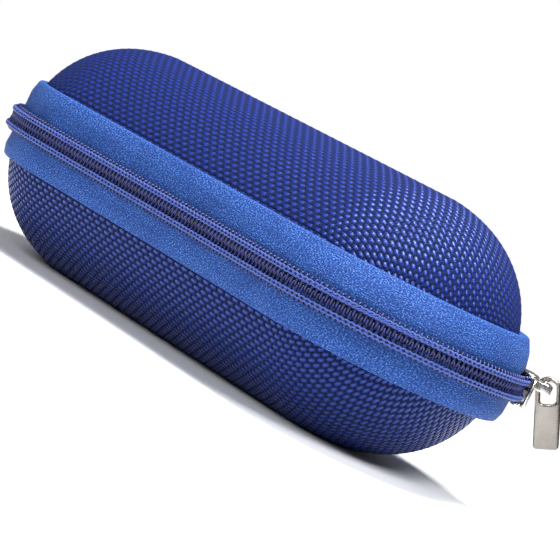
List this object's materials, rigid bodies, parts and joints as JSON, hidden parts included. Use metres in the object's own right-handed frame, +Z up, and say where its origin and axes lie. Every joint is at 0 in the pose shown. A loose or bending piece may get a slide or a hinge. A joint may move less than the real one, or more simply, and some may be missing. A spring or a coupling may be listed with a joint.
{
  "type": "eyeglasses case",
  "caption": "Rounded, long hard-shell eyeglasses case in woven fabric, with a zip round the front, a fabric hinge at the back and a metal zip pull.",
  "frame": {"origin": "middle of the flat that the lower shell stands on", "axes": "+X along the case towards the end where the slider parks, +Y towards the fabric hinge at the back, +Z up through the lid"},
  "size_m": [0.1709, 0.0778, 0.0635],
  "materials": {
    "shell_fabric": "tightly woven ballistic cloth with a slight gloss",
    "zip_tape": "fine woven polyester tape",
    "coil": "dyed nylon monofilament",
    "thread": "polyester sewing thread",
    "foam": "moulded foam board",
    "lining": "brushed knit lining",
    "binding": "folded ribbon binding",
    "nickel": "polished nickel plate",
    "satin_nickel": "satin nickel plate"
  },
  "bodies": {
    "lower_half": {"lower_shell_fabric": "shell_fabric", "lower_shell_foam": "foam", "lower_shell_lining": "lining", "lower_rim_binding": "binding", "lower_seam_thread": "thread", "lower_zipper_tape": "zip_tape", "lower_zipper_coil": "coil", "lower_coil_cord": "thread", "lower_coil_stitching": "thread", "left_end_tape": "zip_tape", "left_end_coil": "coil", "left_end_stitching": "thread", "right_end_tape": "zip_tape", "right_end_coil": "coil", "right_end_stitching": "thread", "hinge_gusset": "zip_tape", "hinge_lining": "lining", "left_gusset_seam": "thread", "right_gusset_seam": "thread"},
    "lid": {"upper_shell_fabric": "shell_fabric", "upper_shell_foam": "foam", "upper_shell_lining": "lining", "upper_rim_binding": "binding", "upper_seam_thread": "thread", "upper_zipper_tape": "zip_tape", "upper_zipper_coil": "coil", "upper_coil_cord": "thread", "upper_coil_stitching": "thread"},
    "zip_slider": {"slider_body": "nickel", "slider_bail": "nickel"},
    "zip_pull": {"pull_tab": "satin_nickel"}
  },
  "joints": [
    {"name": "lid_hinge", "type": "hinge", "parent": "lower_half", "child": "lid", "pos_m": [0, 0.035, 0.031], "axis": [-1, 0, 0], "range_deg": [0, 120]},
    {"name": "slider_travel", "type": "hinge", "parent": "lower_half", "child": "zip_slider", "pos_m": [0.046, 0, 0.031], "axis": [0, 0, 1], "range_deg": [-100, 0]},
    {"name": "pull_swing", "type": "hinge", "parent": "zip_slider", "child": "zip_pull", "pos_m": [0.08028, 0.02876, 0.0334], "axis": [0.6428, -0.766, 0], "range_deg": [-24, 160]}
  ]
}
